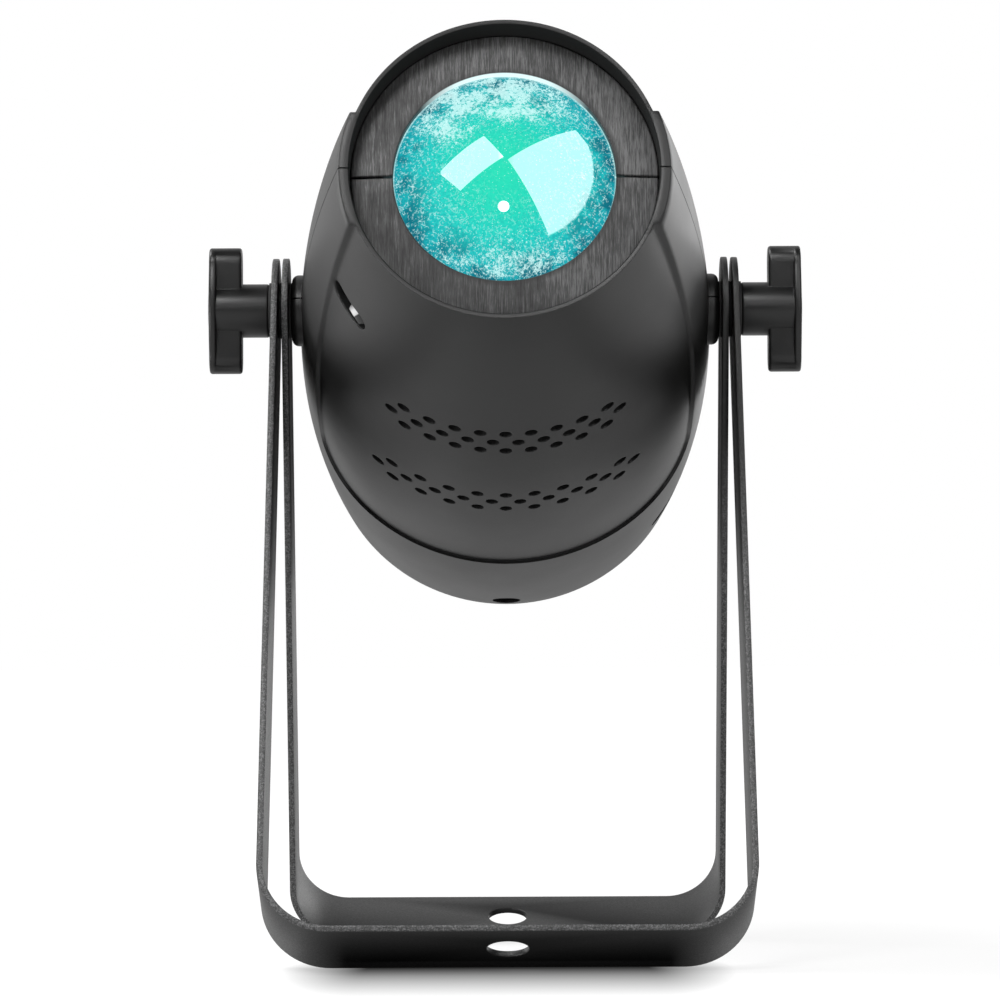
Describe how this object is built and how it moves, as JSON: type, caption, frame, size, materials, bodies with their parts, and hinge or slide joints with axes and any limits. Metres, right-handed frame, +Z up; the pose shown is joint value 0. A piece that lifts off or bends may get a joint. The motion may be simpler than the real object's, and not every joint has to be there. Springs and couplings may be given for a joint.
{
  "type": "pin spot light",
  "caption": "Barrel-shaped spot light with a domed lens, hung by clamp knobs between two nested flat-bar brackets.",
  "frame": {"origin": "on the floor under the middle of the whole lamp as it stands on its two brackets", "axes": "+Z up; the lens faces -Y and looks up; +X is on the right of someone who looks along +Y into the lens"},
  "size_m": [0.1928, 0.2706, 0.2881],
  "materials": {
    "powder_coat": "black textured powder coat",
    "rubber": "soft black washer",
    "knob_plastic": "black moulded plastic with a slight sheen",
    "zinc_steel": "bright zinc plate",
    "satin_black": "satin black moulding",
    "brushed_dark": "dark grey with fine brush lines",
    "lens_glass": "clear coated glass that shines green and turquoise",
    "black_plastic": "black plastic",
    "bare_aluminium": "extruded and bare",
    "circuit_board": "green lacquered board with its parts",
    "emitter_dome": "yellow coated dome",
    "window_plastic": "dark clear window",
    "button_plastic": "black push button",
    "nickel_socket": "satin nickel"
  },
  "bodies": {
    "front_stand": {"front_bracket": "powder_coat", "outer_washer_left": "rubber", "outer_washer_right": "rubber", "middle_washer_left": "rubber", "middle_washer_right": "rubber"},
    "rear_stand": {"rear_bracket": "powder_coat"},
    "lamp_head": {"inner_washer_left": "rubber", "inner_washer_right": "rubber", "lower_shell": "satin_black", "upper_shell": "satin_black", "lower_bezel": "brushed_dark", "upper_bezel": "brushed_dark", "front_lens": "lens_glass", "lens_holder": "black_plastic", "inner_frame": "zinc_steel", "pivot_bush_left": "zinc_steel", "pivot_bush_right": "zinc_steel", "heat_sink": "bare_aluminium", "led_board": "circuit_board", "led_emitter": "emitter_dome", "condenser_lens": "lens_glass", "condenser_holder": "black_plastic", "fan_frame": "black_plastic", "power_board": "circuit_board", "control_board": "circuit_board", "rear_panel": "powder_coat", "display_window": "window_plastic", "power_inlet": "black_plastic", "data_input_socket": "nickel_socket", "data_output_socket": "nickel_socket", "safety_eye": "zinc_steel", "panel_screw_1": "zinc_steel", "panel_screw_2": "zinc_steel", "panel_screw_3": "zinc_steel", "panel_screw_4": "zinc_steel"},
    "left_knob": {"knob_left": "knob_plastic", "stud_left": "zinc_steel"},
    "right_knob": {"knob_right": "knob_plastic", "stud_right": "zinc_steel"},
    "fan_wheel": {"fan_rotor": "black_plastic"},
    "menu_key": {"button_menu": "button_plastic"},
    "down_key": {"button_down": "button_plastic"},
    "up_key": {"button_up": "button_plastic"},
    "enter_key": {"button_enter": "button_plastic"}
  },
  "joints": [
    {"name": "rear_stand_turn", "type": "hinge", "parent": "front_stand", "child": "rear_stand", "pos_m": [0, -0.00555, 0.20755], "axis": [1, 0, 0], "continuous": true},
    {"name": "head_tilt", "type": "hinge", "parent": "front_stand", "child": "lamp_head", "pos_m": [0, -0.00555, 0.20755], "axis": [1, 0, 0], "continuous": true},
    {"name": "left_knob_turn", "type": "hinge", "parent": "lamp_head", "child": "left_knob", "pos_m": [0, -0.00555, 0.20755], "axis": [1, 0, 0], "continuous": true},
    {"name": "right_knob_turn", "type": "hinge", "parent": "lamp_head", "child": "right_knob", "pos_m": [0, -0.00555, 0.20755], "axis": [1, 0, 0], "continuous": true},
    {"name": "fan_spin", "type": "hinge", "parent": "lamp_head", "child": "fan_wheel", "pos_m": [0, 0.02322, 0.19903], "axis": [0, -0.9588, 0.284], "continuous": true},
    {"name": "menu_press", "type": "slide", "parent": "lamp_head", "child": "menu_key", "axis": [0, -0.9588, 0.284], "range_m": [0, 0.0007], "stiffness_N_per_m": 1000, "springref_m": -0.0005},
    {"name": "down_press", "type": "slide", "parent": "lamp_head", "child": "down_key", "axis": [0, -0.9588, 0.284], "range_m": [0, 0.0007], "stiffness_N_per_m": 1000, "springref_m": -0.0005},
    {"name": "up_press", "type": "slide", "parent": "lamp_head", "child": "up_key", "axis": [0, -0.9588, 0.284], "range_m": [0, 0.0007], "stiffness_N_per_m": 1000, "springref_m": -0.0005},
    {"name": "enter_press", "type": "slide", "parent": "lamp_head", "child": "enter_key", "axis": [0, -0.9588, 0.284], "range_m": [0, 0.0007], "stiffness_N_per_m": 1000, "springref_m": -0.0005}
  ]
}
